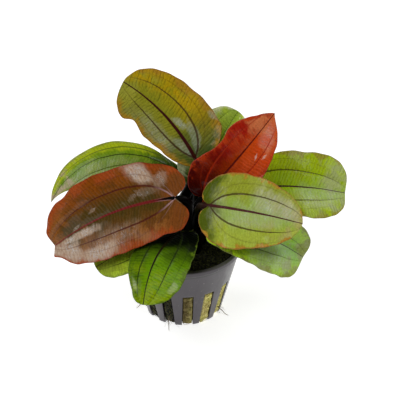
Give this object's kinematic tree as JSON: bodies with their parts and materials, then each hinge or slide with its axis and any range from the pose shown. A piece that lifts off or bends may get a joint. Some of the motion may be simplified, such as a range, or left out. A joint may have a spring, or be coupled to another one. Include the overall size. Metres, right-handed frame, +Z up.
{
  "type": "potted aquarium plant",
  "caption": "Broad-leaved aquarium plant: oval bronze, red and green leaves on short stalks spread from a crown rooted in fibrous wool in a slotted net pot.",
  "frame": {"origin": "centre of the pot's underside, on the surface that the pot stands on", "axes": "+Z up, -Y to the front of the plant as pictured, +X to the viewer's right"},
  "size_m": [0.1377, 0.0847, 0.1069],
  "materials": {
    "pot_plastic": "moulded, dark purple grey, slightly glossy",
    "rockwool": "loose wet fibres, tan with yellow green",
    "crown_tissue": "dark moist plant tissue",
    "leaf_olive_upright_tissue": "wet glossy leaf with fine cross veins",
    "leaf_green_back_left_tissue": "wet glossy leaf with fine cross veins",
    "leaf_bronze_left_tissue": "wet glossy leaf with fine cross veins",
    "leaf_red_young_tissue": "wet glossy leaf with fine cross veins",
    "leaf_lime_front_right_tissue": "wet glossy leaf with fine cross veins",
    "leaf_green_right_tissue": "wet glossy leaf with fine cross veins",
    "leaf_pale_low_right_tissue": "wet glossy leaf with fine cross veins",
    "leaf_green_front_tissue": "wet glossy leaf with fine cross veins",
    "leaf_green_low_left_tissue": "wet glossy leaf with fine cross veins",
    "leaf_green_behind_tissue": "wet glossy leaf with fine cross veins",
    "root_tissue": "dark moist root"
  },
  "bodies": {
    "root": {"net_pot": "pot_plastic", "growing_medium": "rockwool", "crown": "crown_tissue", "leaf_olive_upright": "leaf_olive_upright_tissue", "leaf_green_back_left": "leaf_green_back_left_tissue", "leaf_bronze_left": "leaf_bronze_left_tissue", "leaf_red_young": "leaf_red_young_tissue", "leaf_lime_front_right": "leaf_lime_front_right_tissue", "leaf_green_right": "leaf_green_right_tissue", "leaf_pale_low_right": "leaf_pale_low_right_tissue", "leaf_green_front": "leaf_green_front_tissue", "leaf_green_low_left": "leaf_green_low_left_tissue", "leaf_green_behind": "leaf_green_behind_tissue", "root_front": "root_tissue", "root_left": "root_tissue", "root_right": "root_tissue"}
  },
  "joints": []
}
